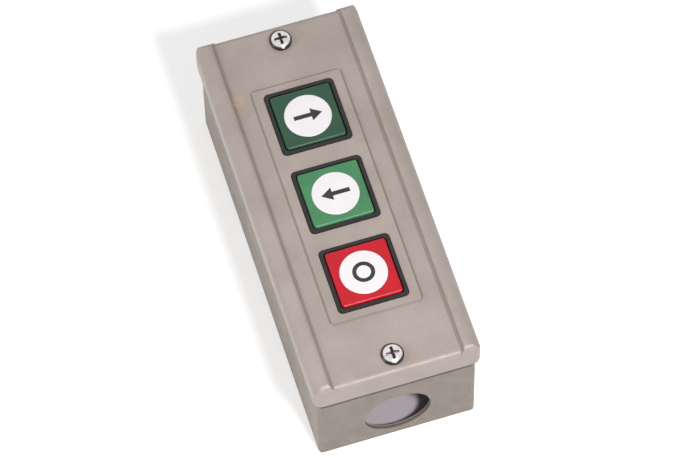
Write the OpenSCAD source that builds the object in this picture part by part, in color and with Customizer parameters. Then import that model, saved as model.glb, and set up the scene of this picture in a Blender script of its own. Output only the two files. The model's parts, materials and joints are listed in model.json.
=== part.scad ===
// Three-button motor control station: a pressed steel cover over a steel
// base box, with a moulded contact block and a latch bar inside.
// The station lies on its back. Origin: centre of the back face.
// +Z points out of the front, +Y towards the station's top end.

/* [Cover] */
// Width of the cover across its sides
cover_w = 50; // [48:0.5:60]
// Length of the cover from end to end
cover_l = 120; // [108:0.5:150]
// Height of the flat front above the back face
front_z = 42; // [38:0.5:50]
// Depth of the cover's turned-down sides below the flat front
skirt_h = 8.2; // [7:0.1:14]
// Thickness of the cover sheet
cover_t = 1; // [0.7:0.1:1.1]
// Rise of the two side ribs above the flat front
rib_rise = 1.4; // [0.8:0.1:1.8]
// Outer radius of the shoulders along the sides
shoulder_r = 4; // [3:0.25:5]
// Radius over the inner edge of each rib's crest
crest_r = 1.3; // [1.2:0.1:1.8]
// Radius in the foot of each rib
foot_r = 1; // [0.4:0.1:1.4]
// Bend radius at the two ends of the flat front
end_bend_r = 2; // [1.6:0.1:3]
// Bend radius where the ribs run out at the ends
rib_bend_r = 2.9; // [2.4:0.1:5]
// Corner radius of the cover, seen from the front
cover_corner_r = 2.4; // [1.6:0.1:3.5]
// Width of the raised pad beside the windows
pad_side = 3.4; // [2.4:0.1:4.5]
// Length of the raised pad past the end windows
pad_end = 2.7; // [2:0.1:5]
// Rise of the raised pad
pad_rise = 0.6; // [0.3:0.1:1]
// Corner radius of the raised pad
pad_corner_r = 4; // [2:0.5:5]
// Side of each square window
window = 21.4; // [18:0.1:24]
// Width of the bars between the windows
window_gap = 5.6; // [5.4:0.1:9]
// Corner radius of each window
window_corner_r = 1.5; // [1:0.1:2.5]

/* [Base box] */
// Thickness of the base sheet
base_t = 1.2; // [0.9:0.1:1.5]
// Running gap between the cover's skirt and the base
skirt_gap = 0.15; // [0.1:0.05:0.3]
// Corner radius of the base, seen from the front
base_corner_r = 2; // [1.6:0.1:3]
// Bend radius along the back edges of the base
back_edge_r = 1.6; // [1.4:0.1:2.5]
// How far the base's rim reaches up inside the cover
rim_lap = 4; // [2.5:0.1:4.6]
// Diameter of the cable entry hole in the bottom end
entry_d = 20; // [16:0.5:22]
// Height of the cable entry's centre above the back face
entry_z = 14.5; // [12.5:0.25:18]
// Distance between the mounting holes, across the station
mount_spacing_x = 28; // [24:0.5:28]
// Diameter of the mounting holes
mount_d = 4.5; // [3.5:0.1:5]
// Distance of the cover screws from the ends of the cover
screw_inset = 5.8; // [5.2:0.1:6.4]
// Width of the tabs that carry the cover screws
tab_w = 13; // [10:0.5:16]

/* [Buttons] */
// Travel of each button
travel = 4; // [3:0.25:4.5]
// Gap between each cap and its collar, per side
cap_gap = 0.3; // [0.2:0.05:0.4]
// Height of each cap
cap_h = 6; // [5:0.25:6.5]
// Wall of each cap, sides and top
cap_t = 1.6; // [1.2:0.1:2]
// Corner radius of each cap, seen from the front
cap_corner_r = 1.2; // [0.8:0.1:2]
// Radius along the front edges of each cap
cap_edge_r = 0.7; // [0.4:0.1:1]
// Height of the caps above the raised pad
cap_stand = 0.8; // [0.4:0.1:1.2]
// Least distance of the round disc from the sides of its cap
disc_margin = 2.15; // [1.6:0.05:3]
// Thickness of the disc
disc_t = 0.9; // [0.7:0.1:1.2]
// Height of the disc above the cap's face
disc_stand = 0.12; // [0.05:0.01:0.3]

/* [Guide frame] */
// Wall of the square collars round the caps
collar_t = 1.1; // [0.9:0.05:1.2]
// Height of the collars above the raised pad
collar_stand = 0.3; // [0.1:0.1:0.6]
// Thickness of the guide plate
plate_t = 2.5; // [2:0.1:3]

/* [Contact mechanism] */
// Side of the square plunger stems
stem_w = 10; // [9:0.1:10.4]
// Height of each contact carrier
carrier_h = 10; // [9.5:0.1:10.5]
// Wall of each carrier past its bridge slots
carrier_wall = 1.7; // [1.4:0.1:2]
// Width of the contact bridges
bridge_w = 5; // [4:0.1:5.2]
// Thickness of the bridges and of the fixed contact strips
strip_t = 1; // [0.8:0.1:1.2]
// Thickness of the latch bar
bar_t = 1.2; // [1:0.1:1.4]
// Width of the latch bar's two side strips
bar_side_w = 2.2; // [2:0.1:2.6]
// Slide of the latch bar for each millimetre of button travel
cam_share = 0.5; // [0.4:0.05:0.55]
// Wire diameter of the return springs
spring_wire = 0.7; // [0.5:0.05:0.8]
// Mean diameter of the return springs
spring_d = 6.4; // [5.5:0.1:7]

/* [Contact block] */
// Thickness of the insulating liner
liner_t = 0.5; // [0.3:0.1:0.8]
// Gap between the contact block and the liner at each side
block_side_gap = 2.5; // [2:0.1:3]
// Thickness of the block under the return springs
block_floor_t = 2.8; // [2.4:0.1:3.2]
// Length of the block past the end wells
block_end = 6.2; // [6:0.1:6.4]
// Side of the terminal clamps over the width of the contact block
clamp_share = 0.142; // [0.13:0.002:0.148]

/* [Hidden] */

$fn = 48;
// Facets in a quarter turn of a bent edge
arc_steps = 10;
// How far cuts run past the faces that they cut
overrun = 0.5;
// Clearance of pieces that slide, per side
slide_gap = 0.15;
// Clearance of screws in their threads
thread_gap = 0.05;
// Small gap of faces that almost meet at a stop
stop_gap = 0.1;

// Windows and cover
pitch = window + window_gap;
pad_w = window + 2 * pad_side;
pad_l = 2 * pitch + window + 2 * pad_end;
skirt_z = front_z - skirt_h;
crest_z = front_z + rib_rise;
pad_z = front_z + pad_rise;
crest_x = cover_w / 2 - shoulder_r;
rib_radii = crest_r + foot_r;
rib_angle = acos((rib_radii - rib_rise) / rib_radii);
foot_x = crest_x - rib_radii * sin(rib_angle);
screw_y = cover_l / 2 - screw_inset;

// Cover screws
screw_r = 2;
screw_head_r = 3.3;
screw_head_h = 2;
screw_l = 9;
screw_hole_gap = 0.25;
// Width and length of a screw's cross recess over the radius of its head
recess_w_share = 0.28;
recess_l_share = 1.2;

// Base box
base_w = cover_w - 2 * (cover_t + skirt_gap);
base_l = cover_l - 2 * (cover_t + skirt_gap);
base_in_w = base_w - 2 * base_t;
base_in_l = base_l - 2 * base_t;
rim_z = skirt_z + rim_lap;
lug_z = front_z - cover_t;
lug_bend_r = 2.4;
lug_past_screw = 3.5;
lug_boss_r = 3;
lug_boss_h = 2;
floor_boss_r = 2.6;
floor_boss_h = 2.9;
knockout_r = entry_d / 2;
knockout_groove = 0.7;
knockout_depth = 0.4;

// Earth screw in the wiring space
earth_inset = 3.4;
earth_end_inset = 3.7;
earth_x = base_in_w / 2 - earth_inset;
earth_y = -(base_in_l / 2 - earth_end_inset);
earth_r = 1.75;
earth_head_r = 2.8;
earth_head_h = 2.2;

// Caps, discs and plungers
cap_w = window - 2 * (slide_gap + collar_t + cap_gap);
disc_d = cap_w - 2 * disc_margin;
cap_top_z = pad_z + cap_stand;
cap_low_z = cap_top_z - cap_h;
cap_in_w = cap_w - 2 * cap_t;
cap_socket_gap = 0.05;
cap_socket_t = 1.5;
cap_socket_h = 3.4;
neck_top_z = cap_top_z - cap_t;
neck_step = 0.5;
neck_w = stem_w - 2 * neck_step;
disc_gap = 0.06;
disc_edge = 0.2;

// Guide frame and its collars
collar_top_z = pad_z + collar_stand;
collar_w = window - 2 * slide_gap;
collar_in_w = collar_w - 2 * collar_t;
flange_past = 0.3;
flange_w = collar_w + 2 * flange_past;
flange_t = 1.5;
flange_gap = 0.2;
flange_top_z = pad_z - cover_t - flange_gap;
plate_top_z = cap_low_z - travel - stop_gap;
plate_low_z = plate_top_z - plate_t;
frame_screw_r = 1.25;
frame_head_r = 2.25;
frame_head_h = 1.7;
frame_screw_grip = 7;
post_w = 4.8;
post_l = 5;
end_post_w = 2.2;
end_post_l = 3.2;
end_post_past = 2.8;
post_gap = 0.5;
bar_side_gap = 0.4;
bar_window_w = stem_w + 2 * bar_side_gap;
bar_w = bar_window_w + 2 * bar_side_w;
post_x = bar_w / 2 + post_gap + post_w / 2;
end_post_x = bar_w / 2 + post_gap + end_post_w / 2;
well_gap = 0.3;
pillar_l = 6.3;
carrier_l = pitch - pillar_l - 2 * well_gap;
post_y_end = pitch + carrier_l / 2 + end_post_past;
plate_w = 2 * post_x + post_w;
plate_l = 2 * (post_y_end + end_post_l / 2);

// Latch bar
bar_room = 1.3;
bar_top_z = plate_low_z - bar_room;
bar_low_z = bar_top_z - bar_t;
rail_h = 1;
rail_gap = 0.1;
bar_slide = travel * cam_share;
rail_w = bar_side_w / 2;
rail_x = (bar_w + bar_window_w) / 4;
bar_end = 3.4;
cam_w = 5;
cam_reach = 0.6;
nose_reach = 1.4;
nose_h = 2.4;
cam_gap = 0.1;
tongue_w = 1.6;

// Contact carriers and block, from the top down
block_top_z = bar_low_z - rail_h;
carrier_drop = 1;
carrier_top_z = block_top_z - carrier_drop;
carrier_low_z = carrier_top_z - carrier_h;
bridge_seat_h = 3;
bridge_z = carrier_low_z + bridge_seat_h;
bridge_slot_h = 5;
bridge_side_gap = 0.2;
bridge_slot_w = bridge_w + 2 * bridge_side_gap;
pole_offset = carrier_l / 2 - carrier_wall - bridge_slot_w / 2;
off_bridge_z = bridge_z + bridge_slot_h - strip_t;
tip_h = 0.5;
make_top_z = bridge_z - tip_h - travel - stop_gap;
strip_joggle = 1.4;
strip_run = 1;
ledge_z = make_top_z - tip_h - strip_t - strip_joggle;
break_low_z = off_bridge_z + strip_t + tip_h + stop_gap / 2;
strip_w = 5.6;
strip_past = 0.2;
strip_gap = 0.6;
riser_gap = 0.3;
liner_drop = 9.5;
block_z = base_t + liner_t;
spring_seat_z = block_z + block_floor_t;
well_w = stem_w + 2 * well_gap;
well_l = carrier_l + 2 * well_gap;
block_w = base_in_w - 2 * (liner_t + block_side_gap);
block_l = 2 * (pitch + well_l / 2 + block_end);
mount_spacing = (block_l + base_in_l) / 2;
barrier_t = 1.4;
barrier_h = 5.5;
block_screw_inset = 3.3;
block_screw_end_inset = 3.2;
block_screw_x = block_w / 2 - block_screw_inset;
block_screw_y = block_l / 2 - block_screw_end_inset;
block_screw_r = 1.75;
block_head_r = 2.8;
block_head_h = 1.8;
terminal_head_h = 1.8;
grip_share = 0.5;
terminal_grip = (ledge_z - block_z) * grip_share;
clamp_w = block_w * clamp_share;
terminal_share = 0.286;
terminal_r = clamp_w * terminal_share;
clamp_t = 0.8;
clamp_inset = 0.65;
terminal_head_r = clamp_w / 2 - stop_gap;
terminal_x = block_w / 2 - clamp_inset - clamp_w / 2;
tip_share = 0.57;
tip_r = clamp_w / 2 * tip_share;
bridge_l = 2 * (terminal_x - clamp_w / 2 - stop_gap - strip_t - riser_gap);
tip_x = bridge_l / 2 - tip_r;
strip_in_x = tip_x - tip_r - strip_past;
spine_w = 2 * (strip_in_x - strip_gap);

// Springs; closed_share is the rise of a closed end turn over the wire's diameter
closed_share = 1.15;
spring_turns = 5.5;
contact_spring_wire = 0.45;
contact_spring_d = 3;
contact_spring_turns = 3.5;
latch_spring_wire = 0.4;
latch_spring_d = 3;
latch_spring_turns = 4.5;
latch_spring_l = 4.6;
shoulder_past = 0.2;
shoulder_y = pitch + carrier_l / 2 + shoulder_past;
bracket_y = shoulder_y + latch_spring_l;
bracket_t = 1.7;
bracket_w = 8;
bracket_rise = 2.4;
bracket_top_z = bar_top_z + bracket_rise;

// Button centres, from the top of the station down
forward_y = pitch;
reverse_y = 0;
off_y = -pitch;

// Points of an arc about c, from angle a to angle b
function arc(c, r, a, b, n = arc_steps) =
    [for (i = [0:n]) let (g = a + (b - a) * i / n) [c[0] + r * cos(g), c[1] + r * sin(g)]];

// The same outline mirrored about the second axis, run backwards
function flipped(p) = [for (i = [len(p) - 1:-1:0]) [-p[i][0], p[i][1]]];

// Right half of the cover's section, moved inwards by t: foot, rib crest, shoulder, side
function rib_half(t) = concat(
    arc([foot_x, front_z + foot_r], foot_r + t, -90, rib_angle - 90),
    arc([crest_x, crest_z - crest_r], crest_r - t, 90 + rib_angle, 90),
    arc([crest_x, crest_z - shoulder_r], shoulder_r - t, 90, 0)
);

// Right half of an end profile with its top at z_top, moved inwards by t
function end_half(z_top, r, t) = arc([cover_l / 2 - r, z_top - r], r - t, 90, 0);

// Rounded rectangle about the origin
module rounded(w, l, r) {
    quarter = arc([w / 2 - r, l / 2 - r], r, 0, 90, arc_steps / 2);
    half = concat(quarter, flipped(quarter));
    polygon(concat(half, [for (p = half) -p]));
}

// Outline given as (x, z), drawn along Y about the origin
module along_y(length) {
    rotate([90, 0, 0]) linear_extrude(height = length, center = true) children();
}

// Outline given as (y, z), drawn along X about the origin
module along_x(width) {
    rotate([90, 0, 90]) linear_extrude(height = width, center = true) children();
}

// A box standing on z_low, centred in x and y
module block(w, l, z_low, z_high) {
    translate([-w / 2, -l / 2, z_low]) cube([w, l, z_high - z_low]);
}

// An upright cylinder from z_low to z_high
module post(r, z_low, z_high) {
    translate([0, 0, z_low]) cylinder(r = r, h = z_high - z_low);
}

// Copies at each of two places mirrored in x or in y
module both_x(x) {
    for (s = [-1, 1]) translate([s * x, 0, 0]) children();
}
module both_y(y) {
    for (s = [-1, 1]) translate([0, s * y, 0]) children();
}

module at_buttons() {
    for (y = [forward_y, reverse_y, off_y]) translate([0, y, 0]) children();
}

// A pan head screw, its head on z_seat, with a cross recess
module pan_screw(r, head_r, head_h, z_seat, length) {
    recess_w = head_r * recess_w_share;
    recess_l = head_r * recess_l_share;
    dome_r = (head_r * head_r + head_h * head_h / 4) / head_h;
    difference() {
        union() {
            post(r, z_seat - length, z_seat + head_h / 2);
            post(head_r, z_seat, z_seat + head_h / 2);
            intersection() {
                translate([0, 0, z_seat + head_h - dome_r]) sphere(r = dome_r);
                post(head_r, z_seat + head_h / 2, z_seat + head_h);
            }
        }
        for (g = [0, 90]) rotate([0, 0, g])
            block(recess_l, recess_w, z_seat + head_h / 2, z_seat + head_h + overrun);
    }
}

// A coil spring of wire diameter wire between z_low and z_high, with closed ends
module coil(mean_d, wire, turns, z_low, z_high, sides = 6, steps = 16) {
    close = wire * closed_share;
    rise = z_high - z_low - wire - 2 * close;
    n = floor(turns * steps);
    rings = [for (i = [0:n]) let (
        u = turns * i / n,
        z = z_low + wire / 2 + close * min(u, 1) + rise * max(0, min(1, (u - 1) / (turns - 2)))
            + close * max(0, u - turns + 1),
        g = 360 * u
    ) [for (k = [0:sides - 1]) let (
        c = mean_d / 2 + wire / 2 * cos(360 * k / sides),
        dz = wire / 2 * sin(360 * k / sides)
    ) [c * cos(g), c * sin(g), z + dz]]];
    points = [for (ring = rings) each ring];
    sides_faces = [for (i = [0:n - 1], k = [0:sides - 1]) let (
        a = i * sides + k,
        b = i * sides + (k + 1) % sides
    ) each [[a, b, b + sides], [a, b + sides, a + sides]]];
    first = [for (k = [1:sides - 2]) [0, k + 1, k]];
    last = [for (k = [1:sides - 2]) [n * sides, n * sides + k, n * sides + k + 1]];
    polyhedron(points, concat(sides_faces, first, last));
}

// The cover's outer form moved inwards by t, reaching down to z_low
module cover_form(t, z_low) {
    side = [[cover_w / 2 - t, z_low]];
    section = concat(rib_half(t), side);
    ribs = concat([[foot_x, z_low]], rib_half(t), side);
    low_end = [[cover_l / 2 - t, z_low]];
    flat_end = concat(end_half(front_z, end_bend_r, t), low_end);
    rib_end = concat(end_half(crest_z, rib_bend_r, t), low_end);
    intersection() {
        translate([0, 0, z_low]) linear_extrude(height = crest_z - z_low)
            rounded(cover_w - 2 * t, cover_l - 2 * t, cover_corner_r - t);
        union() {
            intersection() {
                along_y(cover_l) polygon(concat(section, flipped(section)));
                along_x(cover_w) polygon(concat(flat_end, flipped(flat_end)));
            }
            intersection() {
                along_y(cover_l) union() {
                    polygon(ribs);
                    polygon(flipped(ribs));
                }
                along_x(cover_w) polygon(concat(rib_end, flipped(rib_end)));
            }
        }
    }
}

// The raised pad with its sloping edges, moved down by t, starting at z_low
module pad_form(t, z_low) {
    inset = t * tan(22.5);
    top = pad_z - t;
    slope = top - z_low;
    w = pad_w / 2 - inset + front_z - t - z_low;
    l = pad_l / 2 - inset + front_z - t - z_low;
    intersection() {
        along_y(2 * l) polygon([[-w, z_low], [w, z_low], [w - slope, top], [slope - w, top]]);
        along_x(2 * w) polygon([[-l, z_low], [l, z_low], [l - slope, top], [slope - l, top]]);
        translate([0, 0, z_low]) linear_extrude(height = slope) rounded(2 * w, 2 * l, pad_corner_r);
    }
}

module cover() {
    color("#b8aca4") difference() {
        union() {
            cover_form(0, skirt_z);
            pad_form(0, front_z - cover_t / 2);
        }
        cover_form(cover_t, skirt_z - overrun);
        pad_form(cover_t, front_z - cover_t - overrun);
        at_buttons() translate([0, 0, front_z - 2 * cover_t]) linear_extrude(height = 4 * cover_t)
            rounded(window, window, window_corner_r);
        both_y(screw_y) post(screw_r + screw_hole_gap, front_z - 2 * cover_t, front_z + cover_t);
    }
}

module cover_screws() {
    color("#c9cacc") both_y(screw_y) pan_screw(screw_r, screw_head_r, screw_head_h, front_z, screw_l);
}

// The base's outer form moved inwards by t, from z_low up to z_high
module base_form(t, z_low, z_high) {
    r = back_edge_r - t;
    side = arc([base_w / 2 - back_edge_r, back_edge_r], r, -90, 0);
    end = arc([base_l / 2 - back_edge_r, back_edge_r], r, -90, 0);
    half = concat(side, [[base_w / 2 - t, z_high]]);
    half_end = concat(end, [[base_l / 2 - t, z_high]]);
    intersection() {
        along_y(base_l) polygon(concat(half, flipped(half)));
        along_x(base_w) polygon(concat(half_end, flipped(half_end)));
        translate([0, 0, z_low]) linear_extrude(height = z_high - z_low)
            rounded(base_w - 2 * t, base_l - 2 * t, base_corner_r - t);
    }
}

// A tab that rises from an end wall and bends inwards to carry a cover screw
module lug_tab() {
    y = base_l / 2;
    inner_y = screw_y - lug_past_screw;
    bend = [y - lug_bend_r, lug_z - lug_bend_r];
    outline = concat(
        [[y - base_t, rim_z - base_t], [y, rim_z - base_t]],
        arc(bend, lug_bend_r, 0, 90),
        [[inner_y, lug_z], [inner_y, lug_z - base_t]],
        arc(bend, lug_bend_r - base_t, 90, 0)
    );
    along_x(tab_w) polygon(outline);
    translate([0, screw_y, 0]) post(lug_boss_r, lug_z - base_t - lug_boss_h, lug_z - base_t);
}

module base_box() {
    floor_boss_z = base_t + floor_boss_h;
    color("#94867a") difference() {
        union() {
            difference() {
                base_form(0, 0, rim_z);
                base_form(base_t, base_t, rim_z + overrun);
            }
            lug_tab();
            mirror([0, 1, 0]) lug_tab();
            both_x(block_screw_x) both_y(block_screw_y) post(floor_boss_r, base_t / 2, floor_boss_z);
            translate([earth_x, earth_y, 0]) post(floor_boss_r, base_t / 2, floor_boss_z);
        }
        both_y(screw_y) post(screw_r + thread_gap, lug_z - screw_l - overrun, lug_z + overrun);
        both_x(mount_spacing_x / 2) both_y(mount_spacing / 2) post(mount_d / 2, -overrun, base_t + overrun);
        both_x(block_screw_x) both_y(block_screw_y)
            post(block_screw_r + thread_gap, -overrun, floor_boss_z + overrun);
        translate([earth_x, earth_y, 0]) post(earth_r + thread_gap, -overrun, floor_boss_z + overrun);
        translate([0, -base_l / 2 - overrun, entry_z]) rotate([-90, 0, 0])
            cylinder(r = entry_d / 2, h = base_t + 2 * overrun, $fn = 96);
        translate([0, base_l / 2 - knockout_depth, entry_z]) rotate([-90, 0, 0]) difference() {
            cylinder(r = knockout_r, h = knockout_depth + overrun);
            translate([0, 0, -overrun])
                cylinder(r = knockout_r - knockout_groove, h = knockout_depth + 3 * overrun);
        }
    }
}

module earth_screw() {
    color("#b9a24c") translate([earth_x, earth_y, 0])
        pan_screw(earth_r, earth_head_r, earth_head_h, base_t + floor_boss_h, base_t / 2 + floor_boss_h);
}

// A folded sheet that keeps the wiring off the steel
module insulating_liner() {
    w = base_in_w / 2 - stop_gap;
    top = rim_z - liner_drop;
    corner = back_edge_r - base_t + stop_gap;
    half = [
        [w - corner, base_t], [w, base_t + corner], [w, top], [w - liner_t, top], [w - liner_t, block_z]
    ];
    color("#7d4a2c") difference() {
        along_y(block_l) polygon(concat(half, flipped(half)));
        both_x(block_screw_x) both_y(block_screw_y)
            post(floor_boss_r + well_gap, base_t - overrun, block_z + overrun);
        translate([earth_x, earth_y, 0]) post(earth_head_r + well_gap, base_t - overrun, rim_z);
    }
}

// One pole's slot for a bridge, open upwards
module bridge_slots(z_low) {
    for (y = [-pole_offset, pole_offset]) translate([0, y, 0])
        block(spine_w + 2 * overrun, bridge_slot_w + 2 * well_gap, z_low, block_top_z + overrun);
}

module contact_block() {
    slot_low_z = make_top_z - tip_h - strip_t;
    rib_y = pole_offset + strip_w / 2 + barrier_t;
    color("#3a2c26") difference() {
        union() {
            block(block_w, block_l, block_z, ledge_z);
            block(spine_w, block_l, block_z, block_top_z);
            both_y(pitch / 2) block(plate_w, pillar_l, block_z, block_top_z);
            both_y(post_y_end) block(2 * end_post_x + end_post_w, end_post_l, block_z, block_top_z);
            // Barriers between the terminals
            at_buttons() block(block_w, barrier_t, block_z, ledge_z + barrier_h);
            both_y(pitch / 2) block(block_w, barrier_t, block_z, ledge_z + barrier_h);
            // Rails under the latch bar
            both_y(pitch / 2) both_x(rail_x) block(rail_w, pillar_l, block_top_z, bar_low_z - rail_gap);
            // Bracket that the latch spring pushes on
            translate([0, bracket_y + bracket_t / 2, 0])
                block(bracket_w, bracket_t, block_z, bracket_top_z);
        }
        at_buttons() {
            block(well_w, well_l, spring_seat_z, block_top_z + overrun);
            bridge_slots(slot_low_z);
        }
        // Room for the latch spring and its tongue
        translate([0, (shoulder_y + bracket_y) / 2, 0])
            block(latch_spring_d + 2 * latch_spring_wire, bracket_y - shoulder_y,
                  block_top_z - rail_h, bar_low_z);
        translate([0, bracket_y - overrun, (bar_low_z + bar_top_z) / 2]) rotate([-90, 0, 0])
            cylinder(r = tongue_w / 2 + well_gap, h = bracket_t + 2 * overrun);
        both_x(block_screw_x) both_y(block_screw_y) {
            post(block_screw_r + slide_gap, block_z - overrun, ledge_z + overrun);
            post(block_head_r + well_gap, ledge_z, block_top_z + overrun);
            post(floor_boss_r + well_gap, block_z - overrun, base_t + floor_boss_h + stop_gap);
        }
        translate([earth_x, earth_y, 0]) post(earth_head_r + well_gap, block_z - overrun, block_top_z);
        at_buttons() both_x(terminal_x) both_y(pole_offset)
            post(terminal_r + thread_gap, ledge_z - terminal_grip - overrun, ledge_z + overrun);
        both_x(post_x) both_y(pitch / 2)
            post(frame_screw_r + thread_gap, block_top_z - frame_screw_grip - overrun,
                 block_top_z + overrun);
    }
}

module block_screws() {
    color("#c2c3c4") both_x(block_screw_x) both_y(block_screw_y)
        pan_screw(block_screw_r, block_head_r, block_head_h, ledge_z, ledge_z - base_t / 2);
}

// Black moulding: a collar round each cap and a plate that guides the stems
module guide_frame() {
    neck_hole = neck_w + 2 * slide_gap;
    cam_slot = cam_w + 2 * well_gap;
    cam_room = stem_w / 2 + cam_reach + bar_slide + well_gap;
    nose_room = stem_w / 2 + nose_reach + well_gap;
    color("#1d1c1e") difference() {
        union() {
            block(plate_w, plate_l, plate_low_z, plate_top_z);
            both_y(pitch / 2) both_x(post_x) block(post_w, post_l, block_top_z, plate_low_z + overrun);
            both_y(post_y_end) both_x(end_post_x)
                block(end_post_w, end_post_l, block_top_z, plate_low_z + overrun);
            // Ribs that keep the latch bar down on its rails
            both_y(pitch / 2) both_x(rail_x)
                block(rail_w, post_l, bar_top_z + slide_gap, plate_low_z + overrun);
            at_buttons() {
                translate([0, 0, plate_low_z]) linear_extrude(height = collar_top_z - plate_low_z)
                    rounded(collar_w, collar_w, window_corner_r - slide_gap);
                translate([0, 0, flange_top_z - flange_t]) linear_extrude(height = flange_t)
                    rounded(flange_w, flange_w, window_corner_r + flange_past);
            }
        }
        at_buttons() {
            translate([0, 0, plate_top_z]) linear_extrude(height = collar_top_z)
                rounded(collar_in_w, collar_in_w, cap_corner_r);
            block(neck_hole, neck_hole, plate_low_z - overrun, plate_top_z + overrun);
        }
        for (y = [forward_y, reverse_y]) translate([-cam_slot / 2, y, plate_low_z - overrun])
            cube([cam_slot, nose_room, plate_t + 2 * overrun]);
        translate([-cam_slot / 2, off_y, plate_low_z - overrun])
            cube([cam_slot, cam_room, plate_t + 2 * overrun]);
        both_x(post_x) both_y(pitch / 2)
            post(frame_screw_r + slide_gap, block_top_z - overrun, plate_top_z + overrun);
    }
}

module frame_screws() {
    color("#c2c3c4") both_x(post_x) both_y(pitch / 2)
        pan_screw(frame_screw_r, frame_head_r, frame_head_h, plate_top_z,
                  plate_top_z - block_top_z + frame_screw_grip);
}

// A square cap with rounded front edges and a round recess, hollow below round a socket
module cap() {
    half = concat(arc([cap_w / 2 - cap_edge_r, cap_top_z - cap_edge_r], cap_edge_r, 90, 0, arc_steps / 2),
                  [[cap_w / 2, cap_low_z]]);
    outline = concat(half, flipped(half));
    socket_w = neck_w + 2 * cap_socket_gap;
    socket_out_w = socket_w + 2 * cap_socket_t;
    difference() {
        intersection() {
            along_y(cap_w) polygon(outline);
            along_x(cap_w) polygon(outline);
            translate([0, 0, cap_low_z]) linear_extrude(height = cap_h) rounded(cap_w, cap_w, cap_corner_r);
        }
        difference() {
            block(cap_in_w, cap_in_w, cap_low_z - overrun, neck_top_z);
            block(socket_out_w, socket_out_w, neck_top_z - cap_socket_h, neck_top_z);
        }
        block(socket_w, socket_w, cap_low_z - overrun, neck_top_z);
        post(disc_d / 2 + disc_gap, cap_top_z + disc_stand - disc_t, cap_top_z + overrun);
    }
}

// The round disc of a cap, with a softened edge
module disc() {
    r = disc_d / 2;
    low = cap_top_z + disc_stand - disc_t;
    high = cap_top_z + disc_stand;
    rotate_extrude($fn = 96)
        polygon([[0, low], [r, low], [r, high - disc_edge], [r - disc_edge, high], [0, high]]);
}

module forward_cap() { color("#1f4632") translate([0, forward_y, 0]) cap(); }
module reverse_cap() { color("#2f7a4a") translate([0, reverse_y, 0]) cap(); }
module off_cap() { color("#c01c30") translate([0, off_y, 0]) cap(); }
module forward_disc() { color("#e6e2e2") translate([0, forward_y, 0]) disc(); }
module reverse_disc() { color("#e6e2e2") translate([0, reverse_y, 0]) disc(); }
module off_disc() { color("#e6e2e2") translate([0, off_y, 0]) disc(); }

// A plunger: neck up through the guide into the cap, shoulder, and a carrier for two bridges
module plunger() {
    difference() {
        union() {
            block(neck_w, neck_w, plate_low_z - stop_gap, neck_top_z);
            block(stem_w, stem_w, carrier_low_z, plate_low_z - stop_gap);
            block(stem_w, carrier_l, carrier_low_z, carrier_top_z);
            children();
        }
        for (y = [-pole_offset, pole_offset]) translate([0, y, 0])
            block(stem_w + 2 * overrun, bridge_slot_w, bridge_z, bridge_z + bridge_slot_h);
    }
}

// The hook nose that holds a pressed button down on the latch bar
module hook_nose() {
    y = stem_w / 2;
    z = bar_top_z + slide_gap;
    along_x(cam_w) polygon([[0, z], [y, z], [y + nose_reach, z + nose_h], [0, z + nose_h]]);
}

// The sloping cam that pushes the latch bar aside
module release_cam() {
    y = stem_w / 2;
    z = bar_top_z;
    top = z + travel;
    along_x(cam_w) polygon([
        [0, z - cam_reach / cam_share], [y, z - cam_reach / cam_share],
        [y + cam_reach + bar_slide, top], [0, top]
    ]);
}

module forward_plunger() { color("#d9d4c4") translate([0, forward_y, 0]) plunger() hook_nose(); }
module reverse_plunger() { color("#d9d4c4") translate([0, reverse_y, 0]) plunger() hook_nose(); }
module off_plunger() { color("#d9d4c4") translate([0, off_y, 0]) plunger() release_cam(); }

// Two bridges across a carrier, with contact tips below or above their ends
module bridges(z, tip_z) {
    both_y(pole_offset) {
        block(bridge_l, bridge_w, z, z + strip_t);
        both_x(tip_x) post(tip_r, tip_z, tip_z + tip_h);
    }
}

module forward_bridges() {
    color("#c98f4e") translate([0, forward_y, 0]) bridges(bridge_z, bridge_z - tip_h);
}
module reverse_bridges() {
    color("#c98f4e") translate([0, reverse_y, 0]) bridges(bridge_z, bridge_z - tip_h);
}
module off_bridges() {
    color("#c98f4e") translate([0, off_y, 0]) bridges(off_bridge_z, off_bridge_z + strip_t);
}

// Small springs that press the bridges onto their contacts
module contact_springs(z) {
    both_y(pole_offset) coil(contact_spring_d, contact_spring_wire, contact_spring_turns,
                             z, z + bridge_slot_h - strip_t, steps = 12);
}

module forward_contact_springs() {
    color("#d0d0d0") translate([0, forward_y, 0]) contact_springs(bridge_z + strip_t);
}
module reverse_contact_springs() {
    color("#d0d0d0") translate([0, reverse_y, 0]) contact_springs(bridge_z + strip_t);
}
module off_contact_springs() { color("#d0d0d0") translate([0, off_y, 0]) contact_springs(bridge_z); }

// Return springs in the wells of the contact block
module return_spring() {
    coil(spring_d, spring_wire, spring_turns, spring_seat_z, carrier_low_z);
}

module forward_spring() { color("#c8c8c8") translate([0, forward_y, 0]) return_spring(); }
module reverse_spring() { color("#c8c8c8") translate([0, reverse_y, 0]) return_spring(); }
module off_spring() { color("#c8c8c8") translate([0, off_y, 0]) return_spring(); }

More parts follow.
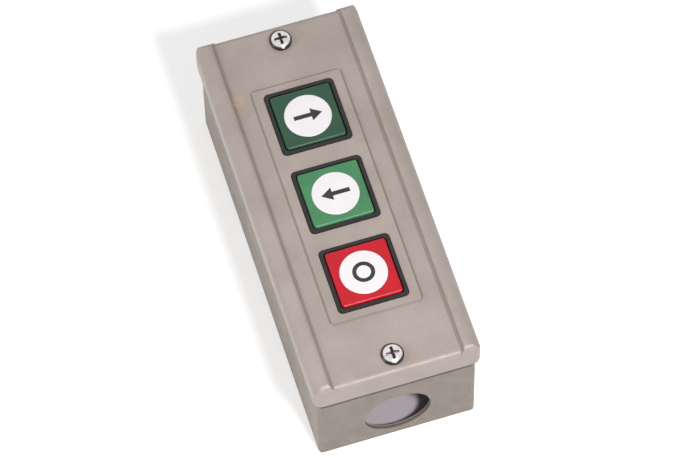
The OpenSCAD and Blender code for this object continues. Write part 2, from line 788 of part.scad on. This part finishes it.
// Sliding steel bar with a window round each stem
module latch_bar() {
    stem_edge = stem_w / 2;
    low_edge = -(stem_edge + bar_slide + well_gap);
    hook_edge = stem_edge + nose_reach + slide_gap;
    cam_edge = stem_edge + cam_reach + cam_gap;
    low_y = off_y + low_edge - bar_end;
    color("#aeb2b5") translate([0, 0, bar_low_z]) difference() {
        union() {
            translate([-bar_w / 2, low_y, 0]) cube([bar_w, shoulder_y - low_y, bar_t]);
            translate([-tongue_w / 2, shoulder_y - overrun, 0])
                cube([tongue_w, bracket_y + bracket_t / 2 - shoulder_y + overrun, bar_t]);
        }
        for (b = [[forward_y, hook_edge], [reverse_y, hook_edge], [off_y, cam_edge]])
            translate([-bar_window_w / 2, b[0] + low_edge, -overrun])
                cube([bar_window_w, b[1] - low_edge, bar_t + 2 * overrun]);
    }
}

module latch_spring() {
    color("#c8c8c8") translate([0, 0, (bar_low_z + bar_top_z) / 2]) rotate([-90, 0, 0])
        coil(latch_spring_d, latch_spring_wire, latch_spring_turns, shoulder_y, bracket_y, steps = 12);
}

// A fixed contact strip under the end of a bridge, which a pressed button closes
module make_strip() {
    x = strip_in_x;
    step_x = bridge_l / 2 + riser_gap;
    foot_x = step_x + strip_run;
    top = make_top_z - tip_h;
    low = ledge_z;
    end_x = terminal_x + clamp_w / 2;
    difference() {
        translate([0, strip_w / 2, 0]) rotate([90, 0, 0]) linear_extrude(height = strip_w) polygon([
            [x, top], [step_x, top], [foot_x, low + strip_t], [end_x, low + strip_t],
            [end_x, low], [foot_x - strip_t / 2, low], [step_x - strip_t / 2, top - strip_t],
            [x, top - strip_t]
        ]);
        translate([terminal_x, 0, 0]) post(terminal_r + slide_gap, low - overrun, low + strip_t + overrun);
    }
    translate([tip_x, 0, 0]) post(tip_r, top, top + tip_h);
}

// A fixed contact strip over the end of a bridge, which a pressed button opens
module break_strip() {
    x = strip_in_x;
    riser_x = bridge_l / 2 + riser_gap;
    low = break_low_z + tip_h;
    end_x = terminal_x + clamp_w / 2;
    difference() {
        translate([0, strip_w / 2, 0]) rotate([90, 0, 0]) linear_extrude(height = strip_w) polygon([
            [x, low + strip_t], [riser_x + strip_t, low + strip_t], [riser_x + strip_t, ledge_z + strip_t],
            [end_x, ledge_z + strip_t], [end_x, ledge_z], [riser_x, ledge_z], [riser_x, low], [x, low]
        ]);
        translate([terminal_x, 0, 0])
            post(terminal_r + slide_gap, ledge_z - overrun, ledge_z + strip_t + overrun);
    }
    translate([tip_x, 0, 0]) post(tip_r, break_low_z, low);
}

module make_contacts() {
    color("#c98f4e") for (y = [forward_y, reverse_y], s = [0, 1]) translate([0, y, 0])
        both_y(pole_offset) mirror([s, 0, 0]) make_strip();
}

module break_contacts() {
    color("#c98f4e") for (s = [0, 1]) translate([0, off_y, 0])
        both_y(pole_offset) mirror([s, 0, 0]) break_strip();
}

module terminal_screws() {
    seat = ledge_z + strip_t + clamp_t;
    color("#d2d2d0") at_buttons() both_x(terminal_x) both_y(pole_offset)
        pan_screw(terminal_r, terminal_head_r, terminal_head_h, seat, seat - ledge_z + terminal_grip);
}

module terminal_clamps() {
    low = ledge_z + strip_t;
    color("#d2d2d0") at_buttons() both_x(terminal_x) both_y(pole_offset) difference() {
        block(clamp_w, clamp_w, low, low + clamp_t);
        post(terminal_r + slide_gap, low - overrun, low + clamp_t + overrun);
    }
}

base_box();
cover();
cover_screws();
insulating_liner();
contact_block();
block_screws();
guide_frame();
frame_screws();
earth_screw();
forward_cap();
reverse_cap();
off_cap();
forward_disc();
reverse_disc();
off_disc();
forward_plunger();
reverse_plunger();
off_plunger();
forward_bridges();
reverse_bridges();
off_bridges();
forward_contact_springs();
reverse_contact_springs();
off_contact_springs();
forward_spring();
reverse_spring();
off_spring();
latch_bar();
latch_spring();
make_contacts();
break_contacts();
terminal_screws();
terminal_clamps();
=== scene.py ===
"""Looks of the push-button control station: softened edges, finishes, printed marks and a small studio."""

import json
import math

import bmesh
import bpy
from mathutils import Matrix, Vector

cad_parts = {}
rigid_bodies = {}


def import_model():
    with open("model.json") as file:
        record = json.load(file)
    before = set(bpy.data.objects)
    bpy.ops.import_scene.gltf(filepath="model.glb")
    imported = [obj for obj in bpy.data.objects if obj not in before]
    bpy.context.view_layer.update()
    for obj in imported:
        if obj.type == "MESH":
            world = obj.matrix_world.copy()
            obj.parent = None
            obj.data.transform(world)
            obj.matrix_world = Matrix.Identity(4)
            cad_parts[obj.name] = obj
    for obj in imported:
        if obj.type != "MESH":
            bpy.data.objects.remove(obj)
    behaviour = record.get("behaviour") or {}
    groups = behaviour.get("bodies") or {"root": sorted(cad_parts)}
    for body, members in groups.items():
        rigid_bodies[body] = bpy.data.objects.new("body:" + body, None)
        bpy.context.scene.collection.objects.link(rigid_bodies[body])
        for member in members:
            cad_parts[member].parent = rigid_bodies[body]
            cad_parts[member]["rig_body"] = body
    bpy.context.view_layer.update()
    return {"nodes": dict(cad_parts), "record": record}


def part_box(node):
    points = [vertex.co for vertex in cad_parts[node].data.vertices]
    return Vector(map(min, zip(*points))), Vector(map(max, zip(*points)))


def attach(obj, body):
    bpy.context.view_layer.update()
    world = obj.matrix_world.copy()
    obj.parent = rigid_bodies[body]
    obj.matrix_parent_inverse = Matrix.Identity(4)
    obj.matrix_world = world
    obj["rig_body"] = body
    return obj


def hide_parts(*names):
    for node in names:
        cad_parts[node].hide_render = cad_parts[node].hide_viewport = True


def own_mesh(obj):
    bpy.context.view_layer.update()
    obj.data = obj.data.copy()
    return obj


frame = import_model()
nodes = frame["nodes"]
MM = 0.001

# Finishes
# tone and shade are the lighter and darker colours of a surface, patch and grain
# the sizes of its broad and fine mottling, relief the depth of its fine texture.
FINISHES = {
    "cover_paint": dict(
        kind="paint", tone=(0.440, 0.372, 0.338), shade=(0.378, 0.314, 0.280), rough=(0.36, 0.50),
        patch=14 * MM, grain=0.9 * MM, relief=0.020 * MM,
    ),
    # The base box's paint is darker than the cover's: painted shade for its walls below the cover
    "base_paint": dict(
        kind="paint", tone=(0.264, 0.216, 0.178), shade=(0.226, 0.182, 0.148), rough=(0.42, 0.58),
        patch=12 * MM, grain=0.8 * MM, relief=0.022 * MM,
    ),
    "screw_zinc": dict(
        kind="metal", tone=(0.72, 0.71, 0.69), shade=(0.46, 0.44, 0.42), rough=(0.20, 0.38),
        patch=2 * MM, grain=0.35 * MM, relief=0.006 * MM,
    ),
    # Cover screws, with a dark colour painted as shade in their recesses and round their heads' feet
    "driven_zinc": dict(
        kind="metal", tone=(0.86, 0.85, 0.84), shade=(0.62, 0.60, 0.58), rough=(0.16, 0.30),
        patch=2 * MM, grain=0.35 * MM, relief=0.006 * MM, recess_shade=(0.055, 0.040, 0.042),
    ),
    "plain_steel": dict(
        kind="metal", tone=(0.60, 0.60, 0.60), shade=(0.44, 0.43, 0.42), rough=(0.28, 0.44),
        patch=4 * MM, grain=0.4 * MM, relief=0.006 * MM,
    ),
    "brass": dict(
        kind="metal", tone=(0.76, 0.55, 0.24), shade=(0.55, 0.36, 0.13), rough=(0.22, 0.38),
        patch=2 * MM, grain=0.35 * MM, relief=0.006 * MM,
    ),
    "contact_copper": dict(
        kind="metal", tone=(0.78, 0.47, 0.27), shade=(0.52, 0.27, 0.14), rough=(0.24, 0.42),
        patch=3 * MM, grain=0.4 * MM, relief=0.006 * MM,
    ),
    "block_phenolic": dict(
        kind="moulded", tone=(0.060, 0.038, 0.028), shade=(0.034, 0.021, 0.016), rough=(0.40, 0.58),
        patch=6 * MM, grain=0.5 * MM, relief=0.012 * MM,
    ),
    "black_plastic": dict(
        kind="moulded", tone=(0.009, 0.008, 0.009), shade=(0.005, 0.004, 0.005), rough=(0.36, 0.50),
        patch=5 * MM, grain=0.4 * MM, relief=0.012 * MM,
    ),
    "plunger_plastic": dict(
        kind="moulded", tone=(0.74, 0.70, 0.58), shade=(0.62, 0.57, 0.44), rough=(0.38, 0.52),
        patch=5 * MM, grain=0.5 * MM, relief=0.010 * MM,
    ),
    "cap_dark_green": dict(
        kind="moulded", tone=(0.020, 0.078, 0.042), shade=(0.016, 0.064, 0.034), rough=(0.34, 0.46),
        patch=6 * MM, grain=0.7 * MM, relief=0.006 * MM,
    ),
    "cap_green": dict(
        kind="moulded", tone=(0.064, 0.250, 0.106), shade=(0.054, 0.215, 0.090), rough=(0.34, 0.46),
        patch=6 * MM, grain=0.7 * MM, relief=0.006 * MM,
    ),
    "cap_red": dict(
        kind="moulded", tone=(0.590, 0.003, 0.018), shade=(0.530, 0.003, 0.015), rough=(0.34, 0.46),
        patch=6 * MM, grain=0.7 * MM, relief=0.006 * MM,
    ),
    "disc_white": dict(
        kind="moulded", tone=(0.93, 0.89, 0.91), shade=(0.90, 0.855, 0.875), rough=(0.32, 0.42),
        patch=4 * MM, grain=0.5 * MM, relief=0.005 * MM,
    ),
    "liner_fibre": dict(
        kind="moulded", tone=(0.26, 0.105, 0.045), shade=(0.17, 0.062, 0.026), rough=(0.60, 0.78),
        patch=5 * MM, grain=0.3 * MM, relief=0.020 * MM,
    ),
}
INK = dict(tone=(0.030, 0.026, 0.030), shade=(0.014, 0.012, 0.015), rough=(0.45, 0.60))

# Wear, dust and painted shade
BARE_STEEL = (0.46, 0.44, 0.42, 1)
DUST = (0.62, 0.58, 0.54, 1)
DUST_SHARE = 0.40
DUST_SIZE = 0.45
PRIMER = (0.66, 0.40, 0.27, 1)
PRIMER_SHARE = 0.75
# Colour of painted shade in creases and in the joint under the cover
PAINTED_SHADE = (0.040, 0.030, 0.028, 1)
CREASE_SHADE = 0.7
# Painted shadow in the joint reaches this far below the cover's edge, and is full from a share of that up
JOINT_SHADOW = 3.8 * MM
JOINT_SHADOW_FULL = 0.88
JOINT_SHADOW_SHARE = 0.9
# Mottling that breaks up the painted joint shadow
JOINT_SHADOW_MOTTLE = 1.2 * MM
JOINT_SHADOW_LEAST = 0.86
# The inside of the box, deeper than its finish coat
BARE_INSIDE = (0.58, 0.52, 0.56, 1)
COAT_DEPTH = 1.0 * MM
COAT_EDGE = 0.1 * MM
# Painted shade on a screw's head starts this far below its top
RECESS_SHADE_DEPTH = 0.75 * MM
RECESS_SHADE_FADE = 0.25 * RECESS_SHADE_DEPTH
# Rubbed spot on the left shoulder
SMUDGE_AT = Vector((-17.7, 38.4, 43.0)) * MM
SMUDGE_R = 2.6 * MM
SMUDGE_CORE = 0.35 * SMUDGE_R
SMUDGE_RAGS = 1.6 * MM

# Noise values at which a pattern starts to show and shows in full
MOTTLED = (0.35, 0.65)
ENAMELLED = (0.34, 0.66)
TARNISHED = (0.38, 0.66)
STREAKED = (0.30, 0.70)
DUSTED = (0.58, 0.74)
FLAKED = (0.57, 0.60)
RAGGED = (0.38, 0.56)
JOINT_MOTTLED = (0.30, 0.50)


class Graph:
    """A material's node tree, with short names for the nodes used here."""

    def __init__(self, name):
        self.material = bpy.data.materials.new(name)
        self.material.use_nodes = True
        self.tree = self.material.node_tree
        self.shader = self.tree.nodes["Principled BSDF"]
        self.place = self.add("ShaderNodeTexCoord").outputs["Object"]

    def add(self, kind, **values):
        node = self.tree.nodes.new(kind)
        for name, value in values.items():
            self.fill(node.inputs[name], value)
        return node

    def noise(self, size, detail=4.0, roughness=0.55, stretch=None):
        """Noise with features about size metres across, drawn out along stretch."""
        place = self.place
        if stretch:
            place = self.add("ShaderNodeMapping", Vector=place, Scale=stretch).outputs["Vector"]
        node = self.add(
            "ShaderNodeTexNoise", Vector=place, Scale=1 / size, Detail=detail, Roughness=roughness,
        )
        return node.outputs["Fac"]

    def spread(self, value, low, high, to_low=0.0, to_high=1.0):
        """value mapped from low..high onto to_low..to_high, and held there outside."""
        node = self.tree.nodes.new("ShaderNodeMapRange")
        self.fill(node.inputs["Value"], value)
        self.fill(node.inputs["From Min"], low)
        self.fill(node.inputs["From Max"], high)
        self.fill(node.inputs["To Min"], to_low)
        self.fill(node.inputs["To Max"], to_high)
        return node.outputs["Result"]

    def fill(self, socket, value):
        """Links value to socket, or sets it there."""
        if isinstance(value, bpy.types.NodeSocket):
            self.tree.links.new(value, socket)
        else:
            socket.default_value = value

    def times(self, a, b):
        node = self.tree.nodes.new("ShaderNodeMath")
        node.operation = "MULTIPLY"
        self.fill(node.inputs[0], a)
        self.fill(node.inputs[1], b)
        return node.outputs["Value"]

    def magnitude(self, value):
        node = self.tree.nodes.new("ShaderNodeMath")
        node.operation = "ABSOLUTE"
        self.fill(node.inputs[0], value)
        return node.outputs["Value"]

    def blend(self, share, a, b):
        """Colour a where share is 0, b where it is 1."""
        node = self.tree.nodes.new("ShaderNodeMix")
        node.data_type = "RGBA"
        self.fill(node.inputs[0], share)
        self.fill(node.inputs[6], a)
        self.fill(node.inputs[7], b)
        return node.outputs[2]

    def coordinate(self, axis):
        return self.add("ShaderNodeSeparateXYZ", Vector=self.place).outputs[axis]

    def distance(self, point):
        node = self.tree.nodes.new("ShaderNodeVectorMath")
        node.operation = "DISTANCE"
        self.fill(node.inputs[0], self.place)
        self.fill(node.inputs[1], point)
        return node.outputs["Value"]

    def mark(self, name):
        """The value that the mesh's own faces carry under name."""
        node = self.tree.nodes.new("ShaderNodeAttribute")
        node.attribute_name = name
        return node.outputs["Fac"]

    def to(self, name, value):
        self.tree.links.new(value, self.shader.inputs[name])

    def relief(self, height, depth):
        node = self.add("ShaderNodeBump", Height=height, Distance=depth, Strength=0.9)
        self.to("Normal", node.outputs["Normal"])


def opaque(colour):
    return (*colour, 1)


def moulded(slot, look):
    """Moulded plastic: faint flow mottling and a fine tool texture."""
    g = Graph(slot)
    patch = g.spread(g.noise(look["patch"]), *MOTTLED)
    g.to("Base Color", g.blend(patch, opaque(look["shade"]), opaque(look["tone"])))
    g.to("Roughness", g.spread(g.noise(look["patch"] * 0.4), *STREAKED, *look["rough"]))
    g.relief(g.noise(look["grain"], detail=2.0), look["relief"])
    g.shader.inputs["IOR"].default_value = 1.5
    return g.material


def recess_shade(g):
    """Share of painted shade: 1 in the recess and round the foot of a cover screw's head, 0 on its dome.
    """
    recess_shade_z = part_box("cover_screws")[1].z - RECESS_SHADE_DEPTH
    return g.spread(g.coordinate("Z"), recess_shade_z, recess_shade_z + RECESS_SHADE_FADE, 1.0, 0.0)


def metal(slot, look):
    """Plain or plated metal with fine drawn lines and tarnish, and where given painted shade in a screw's
    recess and round its head.
    """
    g = Graph(slot)
    tarnish = g.spread(g.noise(look["patch"]), *TARNISHED)
    colour = g.blend(tarnish, opaque(look["shade"]), opaque(look["tone"]))
    if "recess_shade" in look:
        # Painted shade in the recess and round the foot of the head
        colour = g.blend(recess_shade(g), colour, opaque(look["recess_shade"]))
    g.to("Base Color", colour)
    lines = g.noise(look["grain"], detail=2.0, stretch=(1, 6, 1))
    g.to("Roughness", g.spread(lines, *STREAKED, *look["rough"]))
    g.relief(lines, look["relief"])
    g.shader.inputs["Metallic"].default_value = 1.0
    return g.material


def inside(g):
    """1 on the inner faces of the base box, 0 outside."""
    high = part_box("base_box")[1]
    share = g.spread(g.coordinate("Z"), COAT_DEPTH, COAT_DEPTH + COAT_EDGE)
    for axis, outer in (("X", high.x), ("Y", high.y)):
        coat = outer - COAT_DEPTH
        share = g.times(share, g.spread(g.magnitude(g.coordinate(axis)), coat, coat + COAT_EDGE, 1.0, 0.0))
    return share


def joint_shadow(g):
    """Share of painted shadow on the base box, in the joint under the cover's edge."""
    joint_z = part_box("cover")[0].z
    foot, full = joint_z - JOINT_SHADOW, joint_z - JOINT_SHADOW * JOINT_SHADOW_FULL
    under = g.spread(g.coordinate("Z"), foot, full, 0.0, JOINT_SHADOW_SHARE)
    return g.times(under, g.spread(g.noise(JOINT_SHADOW_MOTTLE), *JOINT_MOTTLED, JOINT_SHADOW_LEAST, 1.0))


def smudge(g):
    """Share of primer that shows through the cover's paint in its rubbed spot."""
    near = g.spread(g.distance(SMUDGE_AT), SMUDGE_CORE, SMUDGE_R, PRIMER_SHARE, 0.0)
    return g.times(near, g.spread(g.noise(SMUDGE_RAGS), *RAGGED))


def paint(slot, look):
    """Sprayed enamel on steel: orange peel, dust, painted shade in its creases and under the cover's edge,
    and small chips along worn edges.
    """
    g = Graph(slot)
    patch = g.spread(g.noise(look["patch"], detail=5.0), *ENAMELLED)
    colour = g.blend(patch, opaque(look["shade"]), opaque(look["tone"]))
    specks = g.noise(look["grain"] * DUST_SIZE, detail=2.0, roughness=0.7)
    colour = g.blend(g.spread(specks, *DUSTED, 0.0, DUST_SHARE), colour, DUST)
    if slot == "base_paint":
        colour = g.blend(inside(g), colour, BARE_INSIDE)
        # Painted shadow on the base box under the cover's edge
        colour = g.blend(joint_shadow(g), colour, PAINTED_SHADE)
    # Painted shade in hollow creases and bends
    colour = g.blend(g.times(g.mark("crease"), CREASE_SHADE), colour, PAINTED_SHADE)
    if slot == "cover_paint":
        colour = g.blend(smudge(g), colour, PRIMER)
    flakes = g.spread(g.noise(look["grain"] * 1.6, detail=6.0, roughness=0.7), *FLAKED)
    chips = g.times(g.mark("edge"), flakes)
    g.to("Base Color", g.blend(chips, colour, BARE_STEEL))
    g.to("Metallic", g.times(chips, 0.9))
    g.to("Roughness", g.spread(g.noise(look["patch"] * 0.3), *STREAKED, *look["rough"]))
    g.relief(g.noise(look["grain"], detail=1.5), look["relief"])
    return g.material


KINDS = {"paint": paint, "metal": metal, "moulded": moulded}
materials = {slot: KINDS[look["kind"]](slot, look) for slot, look in FINISHES.items()}
materials["ink"] = moulded("ink", dict(INK, patch=3 * MM, grain=0.3 * MM, relief=0.004 * MM))
slots = {part["node"]: part["material_slot"] for part in frame["record"]["subparts"]}
finishes = dict(slots, cover_screws="driven_zinc")


def placed(name, data):
    """A new object of the scene."""
    thing = bpy.data.objects.new(name, data)
    bpy.context.scene.collection.objects.link(thing)
    return thing


def dress(piece, finish):
    piece.data.materials.clear()
    piece.data.materials.append(materials[finish])


for name, node in nodes.items():
    dress(node, finishes[name])

# Softened edges
# Radius given to the sharp edges of each visible piece
EDGE_R = {
    "cover": 0.22, "base_box": 0.20, "cover_screws": 0.10, "guide_frame": 0.12,
    "forward_cap": 0.14, "reverse_cap": 0.14, "off_cap": 0.14, "block_screws": 0.08,
    "contact_block": 0.15, "insulating_liner": 0.08,
}
SHARP = math.radians(28)
SMOOTH = math.radians(32)
TURN = math.radians(2)
WELD = 0.002 * MM
FLAT = math.radians(0.6)
# A bend's faces are no wider than this, and get less painted shade than a sharp corner
BEND_W = 1.0 * MM
BEND_TURN = math.radians(3)
BEND_SHADE = 0.5
HOLLOW_SHARE = 0.3


def in_bend(face):
    """Whether face is a narrow strip along a hollow bend."""
    around = face.calc_perimeter()
    hollow = [e for e in face.edges if len(e.link_faces) == 2 and e.calc_face_angle_signed() < -BEND_TURN]
    narrow = 2 * face.calc_area() < BEND_W * around
    return narrow and sum(e.calc_length() for e in hollow) > HOLLOW_SHARE * around


def on_corner(face):
    """Whether face rounds off an outer corner rather than an inner one."""
    turns = [e for e in face.edges if len(e.link_faces) == 2 and e.calc_face_angle() > TURN]
    return 2 * sum(e.is_convex for e in turns) >= len(turns)


def softened(name, radius):
    """A copy of a CAD node with its sharp edges rounded off and its bends shaded smooth."""
    bm = bmesh.new()
    bm.from_mesh(nodes[name].data)
    edge = bm.faces.layers.float.new("edge")
    crease = bm.faces.layers.float.new("crease")
    bmesh.ops.remove_doubles(bm, verts=bm.verts, dist=WELD)
    bmesh.ops.dissolve_limit(
        bm, angle_limit=FLAT, use_dissolve_boundaries=False, verts=bm.verts, edges=bm.edges,
    )
    sharp = [e for e in bm.edges if len(e.link_faces) == 2 and e.calc_face_angle() > SHARP]
    worn = bmesh.ops.bevel(
        bm, geom=sharp, offset=radius, offset_type="OFFSET", segments=2, profile=0.5, affect="EDGES",
        clamp_overlap=True,
    )
    for face in bm.faces:
        face.smooth = True
        # Narrow faces along hollow bends take a share of the painted crease shade
        if in_bend(face):
            face[crease] = BEND_SHADE
    # Rounded outer corners are marked for chipped paint, inner ones for painted crease shade
    for face in worn["faces"]:
        face[edge if on_corner(face) else crease] = 1.0
    mesh = bpy.data.meshes.new(name + "_dressed")
    bm.to_mesh(mesh)
    bm.free()
    mesh.set_sharp_from_angle(angle=SMOOTH)
    piece = placed(name + "_dressed", mesh)
    even = piece.modifiers.new("even_shading", "WEIGHTED_NORMAL")
    even.keep_sharp = True
    dress(piece, finishes[name])
    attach(piece, nodes[name]["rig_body"])
    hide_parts(name)
    return piece


for name, radius in EDGE_R.items():
    softened(name, radius * MM)

# Springs
WIRE_EDGE_R = 0.02 * MM


def squeezed(name):
    """A spring, softened and given a mesh of its own."""
    spring = softened(name, WIRE_EDGE_R)
    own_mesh(spring)


for joint in frame["record"]["behaviour"]["joints"]:
    for change in joint["deforming_nodes"]:
        squeezed(change["node"])

# Printed marks
MARK_H = 0.03 * MM
MARK_WELD = 0.001 * MM
ARROW_L = 8.6 * MM
ARROW_W = 4.2 * MM
SHAFT_W = 1.35 * MM
HEAD_L = 3.3 * MM
RING_R = 3.3 * MM
RING_W = 1.2 * MM
RING_STEPS = 64


def raised(button, outlines):
    """A printed mark: flat outlines on a button's disc, a little raised."""
    low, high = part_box(button + "_disc")
    centre = (low + high) / 2
    bm = bmesh.new()
    for outline in outlines:
        bm.faces.new([bm.verts.new((centre.x + x, centre.y + y, high.z)) for x, y in outline])
    bmesh.ops.remove_doubles(bm, verts=bm.verts, dist=MARK_WELD)
    grown = bmesh.ops.extrude_face_region(bm, geom=bm.faces[:])
    tops = [v for v in grown["geom"] if isinstance(v, bmesh.types.BMVert)]
    bmesh.ops.translate(bm, verts=tops, vec=(0, 0, MARK_H))
    bmesh.ops.recalc_face_normals(bm, faces=bm.faces)
    mesh = bpy.data.meshes.new(button + "_mark")
    bm.to_mesh(mesh)
    bm.free()
    piece = placed(button + "_mark", mesh)
    dress(piece, "ink")
    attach(piece, button + "_button")


def arrow(side):
    """Outline of an arrow that points along +X for side 1, along -X for side -1."""
    tip, neck, tail = ARROW_L / 2, ARROW_L / 2 - HEAD_L, -ARROW_L / 2
    points = [
        (tail, -SHAFT_W / 2), (neck, -SHAFT_W / 2), (neck, -ARROW_W / 2), (tip, 0),
        (neck, ARROW_W / 2), (neck, SHAFT_W / 2), (tail, SHAFT_W / 2),
    ]
    return [[(side * x, y) for x, y in points][::side]]


def ring():
    """Quads round a ring."""
    corners = [
        [(r * math.cos(a), r * math.sin(a)) for r in (RING_R - RING_W, RING_R)]
        for a in (2 * math.pi * i / RING_STEPS for i in range(RING_STEPS))
    ]
    return [
        [corners[i][0], corners[i][1], corners[(i + 1) % RING_STEPS][1], corners[(i + 1) % RING_STEPS][0]]
        for i in range(RING_STEPS)
    ]


raised("forward", arrow(1))
raised("reverse", arrow(-1))
raised("off", ring())

# Studio
WORLD_LIGHT = 0.34
FLOOR_COLOUR = 0.80
FLOOR_LIFT = 0.50
FLOOR_HALF = 4.0
FLOOR_GAP = 0.05 * MM
AIM = Vector((0, -10, 30)) * MM
LAMPS = {
    "key": dict(place=(0.08, -0.44, 0.64), size=0.10, watts=4.0),
    "fill": dict(place=(-0.85, -0.05, 0.40), size=0.40, watts=2.4),
}
WHITE = (1, 1, 1, 1)


def lamp(name, place, size, watts):
    """A square soft box at place, turned to the station."""
    light = bpy.data.lights.new(name, "AREA")
    light.size = size
    light.energy = watts
    box = placed(name, light)
    box.location = place
    box.rotation_euler = (Vector(place) - AIM).to_track_quat("Z", "Y").to_euler()


def lit_for_camera(tree, value_seen, value_else):
    """A number that is value_seen for camera, mirror and glass rays, and value_else for the rest."""
    path = tree.nodes.new("ShaderNodeLightPath")
    seen = path.outputs["Is Camera Ray"]
    for other in ("Is Glossy Ray", "Is Transmission Ray"):
        either = tree.nodes.new("ShaderNodeMath")
        either.operation = "MAXIMUM"
        tree.links.new(seen, either.inputs[0])
        tree.links.new(path.outputs[other], either.inputs[1])
        seen = either.outputs["Value"]
    pick = tree.nodes.new("ShaderNodeMapRange")
    pick.inputs["To Min"].default_value = value_else
    pick.inputs["To Max"].default_value = value_seen
    tree.links.new(seen, pick.inputs["Value"])
    return pick.outputs["Result"]


def white_world():
    world = bpy.data.worlds.new("studio")
    world.use_nodes = True
    bpy.context.scene.world = world
    tree = world.node_tree
    background = tree.nodes["Background"]
    background.inputs["Color"].default_value = WHITE
    tree.links.new(lit_for_camera(tree, 1.0, WORLD_LIGHT), background.inputs["Strength"])


def pale_floor():
    corners = [(x * FLOOR_HALF, y * FLOOR_HALF, 0) for x, y in ((-1, -1), (1, -1), (1, 1), (-1, 1))]
    mesh = bpy.data.meshes.new("floor")
    mesh.from_pydata(corners, [], [(0, 1, 2, 3)])
    floor = placed("floor", mesh)
    floor.location.z = -FLOOR_GAP
    material = bpy.data.materials.new("floor")
    material.use_nodes = True
    tree = material.node_tree
    shader = tree.nodes["Principled BSDF"]
    shader.inputs["Base Color"].default_value = opaque([FLOOR_COLOUR] * 3)
    shader.inputs["Roughness"].default_value = 0.9
    shader.inputs["Specular IOR Level"].default_value = 0.0
    shader.inputs["Emission Color"].default_value = WHITE
    tree.links.new(lit_for_camera(tree, FLOOR_LIFT, 0.0), shader.inputs["Emission Strength"])
    mesh.materials.append(material)


white_world()
pale_floor()
for name, values in LAMPS.items():
    lamp(name, **values)

# Camera
# Place, turn and focal length found by fitting the station's known points to the photograph
CAMERA_AT = Vector((-174.34, -611.70, 1219.24)) * MM
CAMERA_TURN = (27.9535, 0.6296, -17.4479)
LENS = 237.81
SENSOR_W = 36
CLIP = (0.01, 20)

camera = bpy.data.cameras.new("camera")
camera.sensor_width = SENSOR_W
camera.lens = LENS
camera.clip_start, camera.clip_end = CLIP
viewer = placed("camera", camera)
viewer.location = CAMERA_AT
viewer.rotation_euler = [math.radians(turn) for turn in CAMERA_TURN]
bpy.context.scene.camera = viewer

bpy.context.scene.view_settings.view_transform = "Standard"
